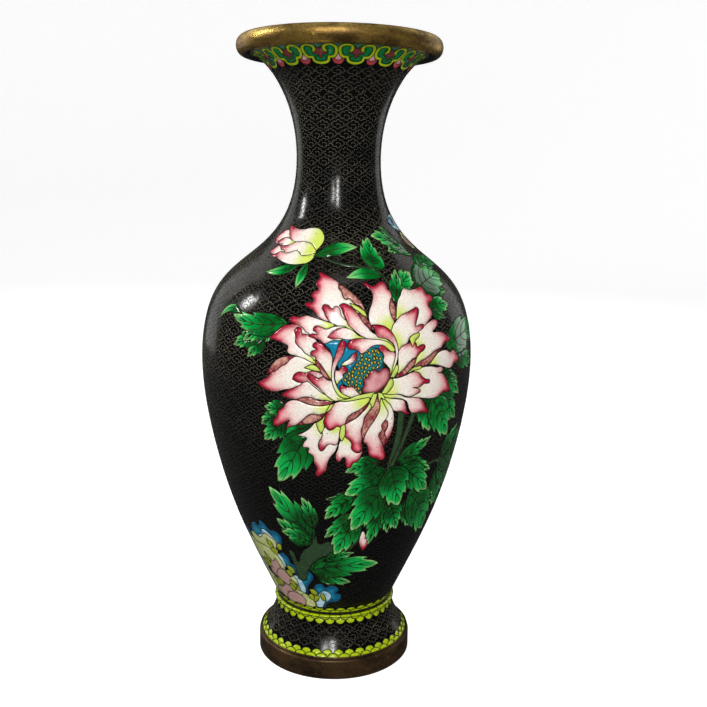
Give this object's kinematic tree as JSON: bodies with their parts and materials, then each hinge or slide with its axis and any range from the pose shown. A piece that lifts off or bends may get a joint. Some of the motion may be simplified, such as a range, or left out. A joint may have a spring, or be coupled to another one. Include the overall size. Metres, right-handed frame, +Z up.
{
  "type": "cloisonne vase",
  "caption": "Tall baluster vase of copper with a flared mouth and foot, brass rim and foot rings, and enamel cells between brass wires: a peony, leaves and rock on black.",
  "frame": {"origin": "middle of the foot ring's resting face, on the vase's axis", "axes": "+Z up along the axis of revolution; the peony faces -Y; +X to the right of someone who looks at the peony"},
  "size_m": [0.1652, 0.1652, 0.38],
  "materials": {
    "copper": "raised copper, darkened inside",
    "rim_brass": "aged brass, mottled and worn bright on the crest",
    "foot_brass": "darkly patinated brass, rubbed bright in spots",
    "wire_brass": "thin tarnished brass wire, ground flush",
    "lining_enamel": "dark blue-green enamel, slightly uneven",
    "base_enamel": "dark blue-green enamel, slightly uneven",
    "lime_enamel": "glossy lime-green enamel",
    "black_enamel": "glossy black enamel",
    "cloud_head_enamel": "glossy teal enamel with lime, green and pink cells",
    "petal_enamel": "white enamel shaded to pink and crimson",
    "heart_enamel": "blue enamel with yellow dots",
    "leaf_enamel": "dark to emerald green enamel with pale edges",
    "stem_enamel": "dark green enamel",
    "rock_enamel": "blue, yellow-green and dusty pink enamel",
    "butterfly_enamel": "blue to white enamel"
  },
  "bodies": {
    "root": {"body_shell": "copper", "neck_shell": "copper", "foot_shell": "copper", "base_disc": "copper", "rim_ring": "rim_brass", "foot_ring": "foot_brass", "waist_wire": "wire_brass", "foot_wire": "wire_brass", "lip_wire": "wire_brass", "inner_lining": "lining_enamel", "base_enamel": "base_enamel", "lower_foot_scale_border": "lime_enamel", "foot_ground_enamel": "black_enamel", "upper_foot_scale_border": "lime_enamel", "body_scale_border": "lime_enamel", "ground_enamel": "black_enamel", "ruyi_border_enamel": "cloud_head_enamel", "peony_bloom_enamel": "petal_enamel", "shoulder_bud_enamel": "petal_enamel", "small_bud_enamel": "petal_enamel", "back_blossom_enamel": "petal_enamel", "peony_heart_enamel": "heart_enamel", "bud_leaf_enamel": "leaf_enamel", "bud_sepals_enamel": "leaf_enamel", "shoulder_leaves_enamel": "leaf_enamel", "upper_leaves_enamel": "leaf_enamel", "right_leaves_enamel": "leaf_enamel", "left_leaves_enamel": "leaf_enamel", "lower_left_leaves_enamel": "leaf_enamel", "lower_right_leaves_enamel": "leaf_enamel", "leaf_cluster_enamel": "leaf_enamel", "side_leaves_enamel": "leaf_enamel", "branch_leaves_enamel": "leaf_enamel", "foot_leaves_enamel": "leaf_enamel", "back_leaves_enamel": "leaf_enamel", "bud_stem_enamel": "stem_enamel", "main_stem_enamel": "stem_enamel", "branch_enamel": "stem_enamel", "rock_enamel": "rock_enamel", "butterfly_enamel": "butterfly_enamel", "flower_cloisons": "wire_brass", "leaf_cloisons": "wire_brass", "stem_cloisons": "wire_brass", "rock_cloison": "wire_brass", "butterfly_cloison": "wire_brass"}
  },
  "joints": []
}
